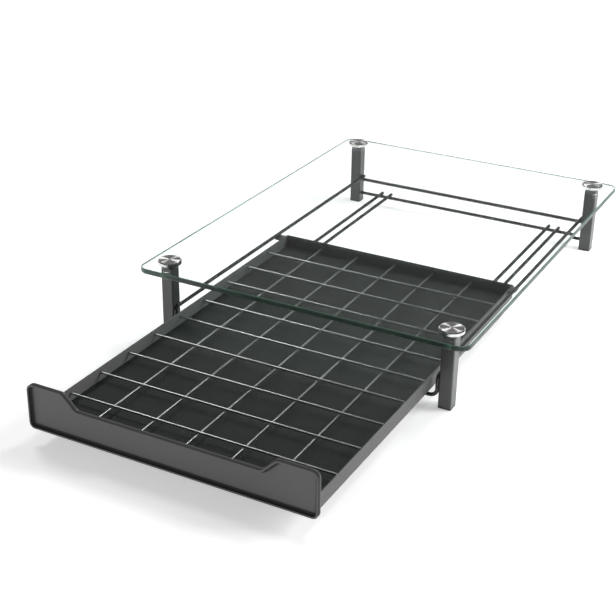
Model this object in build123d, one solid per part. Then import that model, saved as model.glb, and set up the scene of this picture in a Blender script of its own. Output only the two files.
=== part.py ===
"""Drawer for single-serve coffee pods, under a glass-topped stand.

Millimetres, +Z up, the drawer opens towards -Y. Everything is built about the
middle of the stand at floor level, and moved at the end so that the origin is
the middle of the whole object's underside, with the drawer as far out as it rests.
"""
import os

from build123d import *

os.makedirs("parts", exist_ok=True)

# ------------------------------------------------------------ driving dimensions
# Cells of the drawer
columns = 6
rows = 10
cell_width = 41.0            # across, from wire to wire
cell_length = 40.3           # front to back, from wire to wire

# Tray, of sheet steel
wall_sheet = 1.0
floor_sheet = 0.9
wall_height = 13.7
wall_below_floor = 1.25      # the walls reach this far under the floor sheet
grid_wire = 2.0              # across
grid_wire_sides = 8          # the fourteen grid wires are plain prisms
grid_rise = 5.85             # clear height under the crosswise wires

# Front panel
panel_depth = 4.5
panel_web = 1.1              # sheet left behind the dished face
panel_lip = 1.7              # width of the raised rim
panel_dish = 2.9             # radius between rim and face
panel_side = 4.8             # how far it stands past the tray on each side
panel_drop = 1.0             # how far it reaches below the tray walls
panel_height = 39.7
panel_top_corner = 6.0
panel_bottom_corner = 5.0
panel_edge = 0.45            # bevel of the rim's edges
notch_depth = 12.7
notch_half_top = 95.0
notch_half_bottom = 82.0
notch_shoulder = 5.0         # radius where the notch leaves the top edge
notch_bend = 5.0             # radius at the bottom of the notch

# Stand wires
frame_wire = 3.5             # rails, cradle and rear bars
runner_wire = 3.5
lower_bar_z = 10.0           # cradle and rear lower bar, middle of the wire
upper_bar_z = 26.5           # rear upper bar, middle of the wire
runner_inset = 17.0          # outer runner in from the tray's inner wall face
runner_spacing = 11.0        # between the two runners of a side
runner_overhang = 2.8        # past the middle of the bars that carry it
rail_overhang = 2.4          # past the middle of the rear upper bar
rail_bend = 5.0              # radius of the wire's middle line
cradle_bend = 6.5
rail_drop = 10.0             # length of the rail's turned-down end

# Legs and glass
leg_size = 12.0
leg_wall = 1.2
leg_corner = 0.9             # bevel along the tube's outer corners
foot_flange = 1.5
foot_plug = 9.0
insert_height = 10.0
pad_thickness = 0.8
glass_underside = 65.0
glass_thickness = 5.0
glass_overhang_x = 16.0      # past the legs' outer faces
glass_overhang_y = 15.0
glass_corner = 10.0
glass_bevel = 0.7

# Caps and what holds them
stud_diameter = 5.0
stud_in_insert = 8.5
glass_hole = 7.0
washer_thickness = 0.6
washer_diameter = 16.6
pad_inset = 0.5              # pad edge inside the leg's outline
cap_diameter = 22.0
cap_neck_diameter = 16.6
cap_neck_height = 4.2
cap_disc_height = 4.2
cap_bevel = 0.9              # round the top
cap_bore_depth = 5.5

# Hold-down tabs
tab_sheet = 1.2
tab_length = 12.0
tab_reach = 7.0              # out from the tray wall
tab_leg = 8.0                # down the tray wall
tab_inset = 3.0              # from the tray's rear face
tab_corner = 2.0

# Clearances
slide_gap = 0.3              # tray over the runners, and tabs under the rails
side_gap = 4.5               # tray wall to the upright of the cradle
stop_gap = 0.3               # closed tray to the rear upper bar
panel_gap = 13.0             # closed panel to the front legs
press_gap = 0.05             # plugs in the leg tubes
bore_gap = 0.2               # round things in their holes, on the radius

# Rest position: how far the drawer stands out from closed
drawer_out = 191.5

# ------------------------------------------------------------ derived places
tray_half = columns * cell_width / 2
tray_half_outer = tray_half + wall_sheet
tray_inner_length = rows * cell_length
tray_length = tray_inner_length + 2 * wall_sheet

rail_x = tray_half_outer + side_gap + frame_wire / 2
leg_inner_x = rail_x + frame_wire / 2
leg_x = leg_inner_x + leg_size / 2

# The closed tray fills the stand from the panel's back to the rear upper bar.
leg_y = (tray_length + frame_wire / 2 + stop_gap - leg_size / 2 - panel_gap) / 2
cradle_y = -(leg_y + leg_size / 2) + frame_wire / 2

runner_z = lower_bar_z + frame_wire / 2 + runner_wire / 2
floor_z = runner_z + runner_wire / 2 + slide_gap
floor_top = floor_z + floor_sheet
wall_z = floor_z - wall_below_floor
wall_top = wall_z + wall_height
cross_wire_z = floor_top + grid_rise + grid_wire / 2
long_wire_z = cross_wire_z - grid_wire
rail_z = upper_bar_z + frame_wire

tray_rear = leg_y - frame_wire / 2 - stop_gap - drawer_out
tray_front = tray_rear - tray_length
panel_front = tray_front - panel_depth

glass_half_x = leg_x + leg_size / 2 + glass_overhang_x
glass_half_y = leg_y + leg_size / 2 + glass_overhang_y
glass_top = glass_underside + glass_thickness
leg_top = glass_underside - pad_thickness
leg_inside = leg_size - 2 * leg_wall

# Middle of the whole object from front to back, with the drawer at rest
middle_y = (panel_front + glass_half_y) / 2

corners = {
    "front_left": (-leg_x, -leg_y),
    "front_right": (leg_x, -leg_y),
    "rear_left": (-leg_x, leg_y),
    "rear_right": (leg_x, leg_y),
}


# ------------------------------------------------------------ helpers
def block(x_range, y_range, z_range):
    """A plain box between three pairs of limits."""
    size = [high - low for low, high in (x_range, y_range, z_range)]
    middle = [(low + high) / 2 for low, high in (x_range, y_range, z_range)]
    return Pos(*middle) * Box(*size)


def rod_along_x(diameter, y, z, half_length):
    """A straight wire across the stand."""
    return Pos(0, y, z) * Rot(0, 90, 0) * Cylinder(diameter / 2, 2 * half_length)


def rod_along_y(diameter, x, z, y_front, y_rear):
    """A straight wire from front to back."""
    rod = Rot(90, 0, 0) * Cylinder(diameter / 2, y_rear - y_front)
    return Pos(x, (y_front + y_rear) / 2, z) * rod


def bent_wire(diameter, points, bend):
    """A round wire along straight runs joined by tangent arcs."""
    path = FilletPolyline(*points, radius=bend)
    section = Plane(origin=path @ 0, z_dir=path % 0) * Circle(diameter / 2)
    return sweep(section, path=path)


def over_each_leg(shape, z):
    """The same small shape on the middle line of every leg, as a group of separate solids."""
    return Compound([Pos(x, y, z) * shape for x, y in corners.values()])


def tube_plug(height):
    """A square block that fills the inside of a leg tube."""
    side = leg_inside - 2 * press_gap
    return extrude(Rectangle(side, side), height)


# ------------------------------------------------------------ stand: legs and feet
def leg_outline():
    """Section of a leg from outside, shared by the tube and the foot's flange."""
    return chamfer(Rectangle(leg_size, leg_size).vertices(), leg_corner)


def leg():
    """Square steel tube, open at both ends."""
    inner = Rectangle(leg_inside, leg_inside)
    return extrude(leg_outline() - inner, leg_top - foot_flange)


def foot():
    """Plastic plug whose flange stands on the floor."""
    flange = extrude(leg_outline(), foot_flange)
    return flange + Pos(0, 0, foot_flange) * tube_plug(foot_plug)


def leg_insert():
    """Threaded block in the top of a leg, flush with the tube."""
    bore = Cylinder(stud_diameter / 2 + bore_gap, 2 * insert_height)
    return tube_plug(insert_height) - bore


# ------------------------------------------------------------ stand: glass and its fixings
def glass():
    """Tempered sheet with rounded corners, bevelled edges and four holes."""
    sheet = extrude(RectangleRounded(2 * glass_half_x, 2 * glass_half_y, glass_corner), glass_thickness)
    rims = sheet.edges().group_by(Axis.Z)
    sheet = chamfer(rims[0] + rims[-1], glass_bevel)
    holes = [Pos(x, y, glass_thickness / 2) * Cylinder(glass_hole / 2, 2 * glass_thickness)
             for x, y in corners.values()]
    return Pos(0, 0, glass_underside) * (sheet - holes)


def glass_pad():
    """Soft square pad between a leg and the glass."""
    side = leg_size - 2 * pad_inset
    return extrude(Rectangle(side, side) - Circle(glass_hole / 2), pad_thickness)


def glass_washer():
    """Flat washer between the glass and a cap."""
    bore = Circle(stud_diameter / 2 + bore_gap)
    return extrude(Circle(washer_diameter / 2) - bore, washer_thickness)


def cap():
    """Turned knob: a bevelled disc on a narrower neck, bored from below."""
    bore = stud_diameter / 2 + bore_gap
    neck = cap_neck_diameter / 2
    rim = cap_diameter / 2
    height = cap_neck_height + cap_disc_height
    profile = Polyline(
        (bore, 0),
        (neck, 0),
        (neck, cap_neck_height),
        (rim, cap_neck_height),
        (rim, height - cap_bevel),
        (rim - cap_bevel, height),
        (0, height),
        (0, cap_bore_depth),
        (bore, cap_bore_depth),
        close=True,
    )
    return revolve(make_face(Plane.XZ * profile), Axis.Z)


def stud(top, bottom):
    """Threaded rod from inside the cap to inside the leg insert."""
    return Pos(0, 0, (top + bottom) / 2) * Cylinder(stud_diameter / 2, top - bottom)


# ------------------------------------------------------------ stand: wires
def side_rail(side):
    """Rail over the hold-down tab, turned down beside the front leg."""
    x = side * rail_x
    return bent_wire(
        frame_wire,
        [
            (x, leg_y + rail_overhang, rail_z),
            (x, cradle_y, rail_z),
            (x, cradle_y, rail_z - rail_drop),
        ],
        rail_bend,
    )


def front_cradle():
    """U-shaped wire under the drawer, its ends butted to the two rails."""
    top = rail_z - rail_drop
    return bent_wire(
        frame_wire,
        [
            (-rail_x, cradle_y, top),
            (-rail_x, cradle_y, lower_bar_z),
            (rail_x, cradle_y, lower_bar_z),
            (rail_x, cradle_y, top),
        ],
        cradle_bend,
    )


# ------------------------------------------------------------ drawer: front panel
def panel_outline():
    """Front view of the panel, wide shallow notch in its top edge."""
    half = tray_half_outer + panel_side
    low = wall_z - panel_drop
    top = low + panel_height
    floor = top - notch_depth
    outline = make_face(Polyline(
        (-half, low),
        (half, low),
        (half, top),
        (notch_half_top, top),
        (notch_half_bottom, floor),
        (-notch_half_bottom, floor),
        (-notch_half_top, top),
        (-half, top),
        close=True,
    ))
    rounds = {
        (half, low): panel_bottom_corner,
        (half, top): panel_top_corner,
        (notch_half_top, top): notch_shoulder,
        (notch_half_bottom, floor): notch_bend,
    }
    for (x, y), radius in rounds.items():
        pair = [vertex for vertex in outline.vertices()
                if abs(abs(vertex.X) - x) < 1e-6 and abs(vertex.Y - y) < 1e-6]
        outline = fillet(pair, radius)
    return outline


def front_panel():
    """Dished panel: a raised rim all round runs down to the face in one radius."""
    outline = panel_outline()
    upright_plane = Plane(origin=(0, tray_front, 0), x_dir=(1, 0, 0), z_dir=(0, -1, 0))
    body = extrude(upright_plane * outline, panel_depth)
    body = chamfer(body.edges().group_by(Axis.Y)[0], panel_edge)
    inside = offset(outline, amount=-panel_lip)
    face_plane = upright_plane.offset(panel_web)
    dish = extrude(face_plane * inside, panel_depth)
    dish = fillet(dish.edges().group_by(Axis.Y)[-1], panel_dish)
    body = body - dish
    return chamfer(rim_inner_edges(body), panel_edge)


def rim_inner_edges(body):
    """Edges of the rim's front face that border the dish."""
    front = body.faces().sort_by(Axis.Y)[0]
    return front.inner_wires()[0].edges()


# ------------------------------------------------------------ drawer: tray and grid
def tray_floor():
    """Floor sheet between the four walls."""
    return block(
        (-tray_half, tray_half),
        (tray_front + wall_sheet, tray_rear - wall_sheet),
        (floor_z, floor_top),
    )


def tray_side_wall(side):
    """Side wall, the full length of the tray, standing a little below the floor."""
    inner, outer = sorted((side * tray_half, side * tray_half_outer))
    return block((inner, outer), (tray_front, tray_rear), (wall_z, wall_top))


def tray_cross_wall(y_front):
    """Front or rear wall, between the side walls, clear of the runners below."""
    return block((-tray_half, tray_half), (y_front, y_front + wall_sheet), (floor_z, wall_top))


def grid_section():
    """Section of a grid wire, flats up and down, so that crossing wires lie face to face."""
    flat_to_flat = grid_wire / 2
    return RegularPolygon(flat_to_flat, grid_wire_sides, major_radius=False, rotation=180 / grid_wire_sides)


def long_wire(x):
    """Lengthwise grid wire, welded to the front and rear walls."""
    y_front = tray_front + wall_sheet
    length = tray_inner_length
    end = Plane(origin=(x, y_front, long_wire_z), x_dir=(1, 0, 0), z_dir=(0, 1, 0))
    return extrude(end * grid_section(), length)


def cross_wire(y):
    """Crosswise grid wire, welded to the side walls and lying on the lengthwise ones."""
    end = Plane(origin=(-tray_half, y, cross_wire_z), x_dir=(0, 1, 0), z_dir=(1, 0, 0))
    return extrude(end * grid_section(), 2 * tray_half)


def hold_down_tab(side):
    """Angle welded to the tray wall, its flange just under the side rail."""
    top = rail_z - frame_wire / 2 - slide_gap
    y_rear = tray_rear - tab_inset
    y_front = y_rear - tab_length
    flange = block((0, tab_reach), (y_front, y_rear), (top - tab_sheet, top))
    outer_edges = flange.edges().filter_by(Axis.Z).group_by(Axis.X)[-1]
    flange = fillet(outer_edges, tab_corner)
    leg_plate = block((0, tab_sheet), (y_front, y_rear), (top - tab_leg, top - tab_sheet))
    angle = Pos(tray_half_outer, 0, 0) * (flange + leg_plate)
    return angle if side > 0 else mirror(angle, Plane.YZ)


# ------------------------------------------------------------ all nodes
nodes = {}

for corner, (x, y) in corners.items():
    nodes[corner + "_leg"] = Pos(x, y, foot_flange) * leg()
    nodes[corner + "_foot"] = Pos(x, y, 0) * foot()

cap_z = glass_top + washer_thickness
nodes["leg_inserts"] = over_each_leg(leg_insert(), leg_top - insert_height)
nodes["glass_pads"] = over_each_leg(glass_pad(), leg_top)
nodes["glass_washers"] = over_each_leg(glass_washer(), glass_top)
nodes["caps"] = over_each_leg(cap(), cap_z)
nodes["studs"] = over_each_leg(stud(cap_z + cap_bore_depth - bore_gap, leg_top - stud_in_insert), 0)
nodes["glass_top"] = glass()

nodes["left_side_rail"] = side_rail(-1)
nodes["right_side_rail"] = side_rail(1)
nodes["front_cradle"] = front_cradle()
nodes["rear_upper_bar"] = rod_along_x(frame_wire, leg_y, upper_bar_z, leg_inner_x)
nodes["rear_lower_bar"] = rod_along_x(frame_wire, leg_y, lower_bar_z, leg_inner_x)

runner_front = cradle_y - runner_overhang
runner_rear = leg_y + runner_overhang
outer_runner_x = tray_half - runner_inset
for name, x in (("outer", outer_runner_x), ("inner", outer_runner_x - runner_spacing)):
    for side_name, side in (("left", -1), ("right", 1)):
        nodes[side_name + "_" + name + "_runner"] = rod_along_y(
            runner_wire, side * x, runner_z, runner_front, runner_rear)

nodes["front_panel"] = front_panel()
nodes["tray_floor"] = tray_floor()
nodes["tray_left_wall"] = tray_side_wall(-1)
nodes["tray_right_wall"] = tray_side_wall(1)
nodes["tray_front_wall"] = tray_cross_wall(tray_front)
nodes["tray_rear_wall"] = tray_cross_wall(tray_rear - wall_sheet)
nodes["left_hold_down_tab"] = hold_down_tab(-1)
nodes["right_hold_down_tab"] = hold_down_tab(1)

for index in range(1, columns):
    nodes["long_wire_" + str(index)] = long_wire(index * cell_width - tray_half)

for index in range(1, rows):
    nodes["cross_wire_" + str(index)] = cross_wire(tray_front + wall_sheet + index * cell_length)

for node, shape in nodes.items():
    export_step(Pos(0, -middle_y, 0) * shape, "parts/" + node + ".step")

# ------------------------------------------------------------ figures for the record
# The drawer opens until the tabs meet the turned-down ends of the rails.
tab_top = rail_z - frame_wire / 2 - slide_gap
bend_rise = tab_top - (rail_z - rail_bend)
bend_inside = rail_bend - frame_wire / 2
wire_back_y = cradle_y + rail_bend - (bend_inside ** 2 - bend_rise ** 2) ** 0.5
opens_by = tray_rear - tab_inset - tab_length - wire_back_y - stop_gap
print("nodes", len(nodes))
print("stand middle at y", round(-middle_y, 3), "leg_y", round(leg_y, 3), "leg_x", leg_x)
print("drawer range", -drawer_out, "to", round(opens_by, 3))
print("tray y", round(tray_front - middle_y, 3), round(tray_rear - middle_y, 3))
print("floor top", floor_top, "walls", wall_z, wall_top, "cross wires", cross_wire_z)
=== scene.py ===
"""Looks of a shallow drawer parted by wires, which slides under a glass-topped stand.

Metres, +Z up, and the drawer opens towards -Y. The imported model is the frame:
every piece stands where its node stands, and rides on the stand or the drawer.
"""

import logging
import math
from dataclasses import dataclass
from enum import Enum
from typing import Callable, Iterator, Mapping, Sequence

import bpy
from mathutils import Matrix, Vector


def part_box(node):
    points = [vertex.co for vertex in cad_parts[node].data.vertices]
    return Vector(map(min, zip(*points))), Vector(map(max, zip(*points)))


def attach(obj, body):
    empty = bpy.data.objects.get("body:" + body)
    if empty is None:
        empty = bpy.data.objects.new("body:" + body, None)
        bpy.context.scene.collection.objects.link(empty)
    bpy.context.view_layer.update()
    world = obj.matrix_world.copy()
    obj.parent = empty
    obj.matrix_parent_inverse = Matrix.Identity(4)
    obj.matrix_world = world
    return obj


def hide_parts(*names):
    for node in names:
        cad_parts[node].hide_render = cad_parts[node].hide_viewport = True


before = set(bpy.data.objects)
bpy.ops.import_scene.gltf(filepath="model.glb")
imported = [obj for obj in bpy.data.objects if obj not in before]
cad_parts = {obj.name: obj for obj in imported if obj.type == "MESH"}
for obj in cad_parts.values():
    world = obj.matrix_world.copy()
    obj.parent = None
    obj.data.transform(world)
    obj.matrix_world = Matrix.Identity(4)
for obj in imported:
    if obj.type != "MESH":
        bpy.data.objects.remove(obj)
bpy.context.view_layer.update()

LOG = logging.getLogger("drawer_stand")
MM = 0.001
WELD = 0.001 * MM       # points closer than this are merged
NEAR = 0.01 * MM        # places closer than this count as one
FACING = 0.9            # least part of a normal along an axis, for a face that looks that way
FLAT = 0.99             # the same, where a rounding beside the face must not pass for it
CORNERS = ("front_left", "front_right", "rear_left", "rear_right")

Colour = tuple[float, float, float]
Material = bpy.types.Material
Piece = bpy.types.Object
Socket = bpy.types.NodeSocket


class Body(Enum):
    """The two bodies of the object."""

    STAND = "stand"
    DRAWER = "drawer"


class Slot(Enum):
    """The record's material slots."""

    CAP_METAL = "cap_metal"
    CLEAR_GLASS = "clear_glass"
    FOOT_PLASTIC = "foot_plastic"
    GRID_METAL = "grid_metal"
    LEG_PAINT = "leg_paint"
    PANEL_PAINT = "panel_paint"
    TRAY_PAINT = "tray_paint"
    WIRE_PAINT = "wire_paint"
    ZINC_STEEL = "zinc_steel"


class Part(Enum):
    """What an edit works on, as Blender's select mode names it."""

    VERTEX = (True, False, False)
    EDGE = (False, True, False)
    FACE = (False, False, True)


class Lie(Enum):
    """How a sheet of the tray lies, as the turn that lays its pattern into X and Y."""

    ALONG_DRAWER = (0.0, math.pi / 2, 0.0)
    ACROSS_DRAWER = (math.pi / 2, 0.0, 0.0)
    FLAT = (0.0, 0.0, 0.0)


# ---------------------------------------------------------------- node graphs
class Nodes:
    """A node tree, with short ways to add nodes and fill their inputs."""

    def __init__(self, tree: bpy.types.NodeTree) -> None:
        """Keep the tree to work on."""
        self.tree = tree

    def fill(self, target: Socket, value: object) -> None:
        """Link an input, or give it a value of its own.

        Args:
            target: The input.
            value: A socket to link from, or the value.
        """
        if isinstance(value, Socket):
            self.tree.links.new(value, target)
        else:
            target.default_value = value

    def node(self, kind: str, output: str, inputs: Mapping[str | int, object], **settings: object) -> Socket:
        """Add a node.

        Args:
            kind: Blender's name of the node type, after its "ShaderNode".
            output: Name of the output that is wanted.
            inputs: A socket or a value for each input that is filled.
            settings: Properties of the node, which are set first.

        Returns:
            The wanted output.
        """
        node = self.tree.nodes.new("ShaderNode" + kind)
        for name, value in settings.items():
            setattr(node, name, value)
        for key, value in inputs.items():
            self.fill(node.inputs[key], value)
        return node.outputs[output]

    def math(self, operation: str, first: Socket | float, second: Socket | float = 0.0) -> Socket:
        """One arithmetic step on two terms, or on the first alone."""
        return self.node("Math", "Value", {0: first, 1: second}, operation=operation)

    def vector(self, operation: str, first: object, second: object = (0.0, 0.0, 0.0)) -> Socket:
        """One vector step on two terms, or on the first alone."""
        return self.node("VectorMath", "Vector", {0: first, 1: second}, operation=operation)

    def length(self, vector: Socket) -> Socket:
        """Length of a vector."""
        return self.node("VectorMath", "Value", {0: vector}, operation="LENGTH")

    def along(self, axis: str, vector: Socket) -> Socket:
        """A vector's coordinate along X, Y or Z."""
        return self.node("SeparateXYZ", axis, {"Vector": vector})

    def clamped(self, value: Socket) -> Socket:
        """A value kept between 0 and 1."""
        return self.node("Clamp", "Result", {"Value": value})

    def span(self, factor: Socket, low: float, high: float) -> Socket:
        """Spread a 0 to 1 factor between two numbers."""
        return self.node("MapRange", "Result", {"Value": factor, "To Min": low, "To Max": high})

    def rays(self, kind: str) -> Socket:
        """1 for one kind of ray, as Light Path names it, and 0 for the others."""
        return self.node("LightPath", kind, {})

    def seen_directly(self) -> Socket:
        """1 for what the camera, a reflection or a view through glass sees, 0 for light.

        Returns:
            The factor.
        """
        seen = self.rays("Is Camera Ray")
        for kind in ("Is Glossy Ray", "Is Transmission Ray"):
            seen = self.math("MAXIMUM", seen, self.rays(kind))
        return seen


class Graph(Nodes):
    """A material's nodes, laid out from the place on the object to the shader."""

    def __init__(self, name: str) -> None:
        """Start a material with one Principled shader.

        Args:
            name: The material's name.
        """
        self.material = bpy.data.materials.new(name)
        self.material.use_nodes = True
        super().__init__(self.material.node_tree)
        self.shader = self.tree.nodes["Principled BSDF"]
        self.output = self.tree.nodes["Material Output"]
        self.place = self.node("TexCoord", "Object", {})

    def surface(self, **values: object) -> None:
        """Fill the shader's inputs, named with underscores for spaces."""
        for name, value in values.items():
            self.fill(self.shader.inputs[name.replace("_", " ")], value)

    def mapped(self, scale: Sequence[float] = (1, 1, 1), turn: Sequence[float] = (0, 0, 0)) -> Socket:
        """The place on the object, stretched along each axis and turned about each."""
        return self.node("Mapping", "Vector", {"Vector": self.place, "Scale": scale, "Rotation": turn})

    def noise(self, per_metre: float, detail: float = 2.0, place: Socket | None = None) -> Socket:
        """Cloudy noise between 0 and 1.

        Args:
            per_metre: Size of the pattern, as its scale.
            detail: Octaves.
            place: Where to read it, or None for the plain place.

        Returns:
            The noise value.
        """
        inputs = {"Vector": place or self.place, "Scale": per_metre, "Detail": detail}
        return self.node("TexNoise", "Fac", inputs)

    def mix(self, factor: Socket, first: Colour, second: Colour) -> Socket:
        """Blend two colours by a factor, 0 for the first and 1 for the second."""
        inputs = {"Factor": factor, "A": (*first, 1.0), "B": (*second, 1.0)}
        return self.node("Mix", "Result", inputs, data_type="RGBA")

    def bump(self, height: Socket, strength: float, depth: float) -> None:
        """Raise the surface by a height pattern.

        Args:
            height: The pattern, 0 to 1.
            strength: Share of the effect.
            depth: Height of a full step.
        """
        inputs = {"Height": height, "Strength": strength, "Distance": depth}
        self.surface(Normal=self.node("Bump", "Normal", inputs))


def shade(colour: Colour, factor: float) -> Colour:
    """A colour made darker or lighter by one factor."""
    return (colour[0] * factor, colour[1] * factor, colour[2] * factor)


# ---------------------------------------------------------------- finishes
@dataclass(frozen=True)
class Coat:
    """Baked powder coat: fine orange peel, faint clouds in colour and gloss."""

    name: str
    colour: Colour
    roughness: float = 0.38
    specular: float = 0.5
    lacquer: float = 0.0
    lacquer_roughness: float = 0.25
    clouds: float = 0.12
    clouds_per_metre: float = 55.0
    gloss_spread: float = 0.05
    gloss_per_metre: float = 210.0
    peel: float = 0.35
    peel_per_metre: float = 1500.0
    peel_depth: float = 0.03 * MM

    def tone(self, graph: Graph) -> Socket:
        """Lightness of the coat, as a factor of its colour."""
        return graph.span(graph.noise(self.clouds_per_metre, detail=3.0), 1 - self.clouds, 1 + self.clouds)

    def gloss(self, graph: Graph) -> Socket:
        """Roughness of the coat."""
        low, high = self.roughness - self.gloss_spread, self.roughness + self.gloss_spread
        return graph.span(graph.noise(self.gloss_per_metre), low, high)

    def material(self) -> Material:
        """Build the material.

        Returns:
            The material.
        """
        graph = Graph(self.name)
        graph.surface(
            Base_Color=graph.mix(self.tone(graph), (0.0, 0.0, 0.0), self.colour), Roughness=self.gloss(graph),
            Specular_IOR_Level=self.specular, Coat_Weight=self.lacquer, Coat_Roughness=self.lacquer_roughness)
        graph.bump(graph.noise(self.peel_per_metre), self.peel, self.peel_depth)
        return graph.material


@dataclass(frozen=True)
class PressedCoat(Coat):
    """Coat on the pressed panel, with painted shade that darkens it in the groove round its face, where it is
    also matt.
    """

    face_y: float = 0.0
    rim_y: float = 0.0
    painted_groove_shade: float = 0.75
    groove_roughness: float = 0.35
    fade: float = 0.10

    def in_groove(self, graph: Graph) -> Socket:
        """1 between the face and the rim, 0 on both.

        Args:
            graph: The material's nodes.

        Returns:
            The factor.
        """
        rise = graph.math("SUBTRACT", graph.along("Y", graph.place), self.face_y)
        share = graph.math("DIVIDE", rise, self.rim_y - self.face_y)
        from_face = graph.math("DIVIDE", share, self.fade)
        from_rim = graph.math("DIVIDE", graph.math("SUBTRACT", 1.0, share), self.fade)
        return graph.clamped(graph.math("MINIMUM", from_face, from_rim))

    def tone(self, graph: Graph) -> Socket:
        """Lightness of the coat, as a factor of its colour, darkened by painted shade in the groove."""
        # Painted shade: the coat is made darker in the groove between face and rim, standing in for the shade
        # that falls there.
        painted_shade = graph.math("MULTIPLY", self.in_groove(graph), self.painted_groove_shade)
        return graph.math("MULTIPLY", super().tone(graph), graph.math("SUBTRACT", 1.0, painted_shade))

    def gloss(self, graph: Graph) -> Socket:
        """Roughness of the coat."""
        matt = graph.math("MULTIPLY", self.in_groove(graph), self.groove_roughness)
        return graph.math("ADD", super().gloss(graph), matt)


@dataclass(frozen=True)
class MeshSheet:
    """Coated sheet with a fine diamond mesh: raised strands round dark openings."""

    name: str
    colour: Colour
    lie: Lie
    pitch: float = 2.0 * MM
    narrowness: float = 3.0
    roughness: float = 0.42
    opening_roughness: float = 0.62
    opening_shade: float = 0.35
    cloud_shade: float = 0.86
    clouds_per_metre: float = 30.0
    specular: float = 0.35
    relief: float = 0.6
    depth: float = 0.25 * MM

    def strands(self, graph: Graph) -> Socket:
        """Height of the mesh: 1 on a strand, 0 in the middle of an opening.

        Args:
            graph: The material's nodes.

        Returns:
            The height.
        """
        laid = graph.mapped(turn=self.lie.value)
        waves = []
        for operation in ("ADD", "SUBTRACT"):
            slant = graph.math(operation, graph.along("X", laid), graph.along("Y", laid))
            wave = graph.math("COSINE", graph.math("MULTIPLY", slant, math.pi / self.pitch))
            waves.append(graph.math("ABSOLUTE", wave))
        return graph.math("POWER", graph.math("MAXIMUM", *waves), self.narrowness)

    def material(self) -> Material:
        """Build the material.

        Returns:
            The material.
        """
        graph = Graph(self.name)
        height = self.strands(graph)
        cloud = graph.span(graph.noise(self.clouds_per_metre), self.cloud_shade, 1.0)
        tone = graph.math("MULTIPLY", height, cloud)
        graph.surface(
            Base_Color=graph.mix(tone, shade(self.colour, self.opening_shade), self.colour),
            Roughness=graph.span(height, self.opening_roughness, self.roughness),
            Specular_IOR_Level=self.specular)
        graph.bump(height, self.relief, self.depth)
        return graph.material


@dataclass(frozen=True)
class PlatedSteel:
    """Bright plated steel with faint drawing lines along it."""

    name: str
    colour: Colour = (0.45, 0.47, 0.45)
    roughness: float = 0.28
    smoother: float = 0.04
    rougher: float = 0.06
    grain_shade: float = 0.8
    grain_per_metre: float = 900.0
    grain_relief: float = 0.1
    grain_depth: float = 0.01 * MM
    stretch: tuple[float, float, float] = (1.0, 1.0, 1.0)

    def grain(self, graph: Graph) -> Socket:
        """The drawing lines, 0 to 1."""
        return graph.noise(self.grain_per_metre, place=graph.mapped(scale=self.stretch))

    def gloss(self, graph: Graph, grain: Socket) -> Socket:
        """Roughness of the metal."""
        return graph.span(grain, self.roughness - self.smoother, self.roughness + self.rougher)

    def graph(self) -> Graph:
        """Lay out the material's nodes.

        Returns:
            The nodes.
        """
        graph = Graph(self.name)
        grain = self.grain(graph)
        graph.surface(
            Base_Color=graph.mix(grain, shade(self.colour, self.grain_shade), self.colour),
            Roughness=self.gloss(graph, grain), Metallic=1.0)
        graph.bump(grain, self.grain_relief, self.grain_depth)
        return graph

    def material(self) -> Material:
        """Build the material."""
        return self.graph().material


@dataclass(frozen=True)
class TurnedChrome(PlatedSteel):
    """Chrome turned on a lathe: a spun face on top of each cap, and polished sides."""

    colour: Colour = (0.83, 0.83, 0.82)
    roughness: float = 0.14
    grain_shade: float = 0.86
    grain_per_metre: float = 2600.0
    grain_relief: float = 0.12
    middle_y: float = 0.0
    half_x: float = 0.0
    half_y: float = 0.0
    face_z: float = 0.0
    face_depth: float = 0.05 * MM
    face_roughness: float = 0.44
    spun: float = 0.95

    def from_axis(self, graph: Graph) -> Socket:
        """Level place counted from the axis of the nearest cap.

        Args:
            graph: The material's nodes.

        Returns:
            The place as a vector.
        """
        moved = graph.vector("SUBTRACT", graph.place, (0.0, self.middle_y, 0.0))
        reach = graph.vector("MULTIPLY", graph.vector("SIGN", moved), (self.half_x, self.half_y, 0.0))
        return graph.vector("MULTIPLY", graph.vector("SUBTRACT", moved, reach), (1.0, 1.0, 0.0))

    def grain(self, graph: Graph) -> Socket:
        """Fine rings round each cap's axis, 0 to 1."""
        inputs = {"W": graph.length(self.from_axis(graph)), "Scale": self.grain_per_metre, "Detail": 2.0}
        return graph.node("TexNoise", "Fac", inputs, noise_dimensions="1D")

    def gloss(self, graph: Graph, grain: Socket) -> Socket:
        """Roughness of the metal, higher on the spun top face.

        Args:
            graph: The material's nodes.
            grain: The rings.

        Returns:
            The roughness.
        """
        on_face = graph.math("GREATER_THAN", graph.along("Z", graph.place), self.face_z - self.face_depth)
        extra = graph.math("MULTIPLY", on_face, self.face_roughness - self.roughness)
        return graph.math("ADD", super().gloss(graph, grain), extra)

    def graph(self) -> Graph:
        """Lay out the material's nodes, with the gloss drawn out along the rings.

        Returns:
            The nodes.
        """
        graph = super().graph()
        round_about = graph.vector("CROSS_PRODUCT", (0.0, 0.0, 1.0), self.from_axis(graph))
        graph.surface(Anisotropic=self.spun, Tangent=round_about)
        return graph


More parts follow.
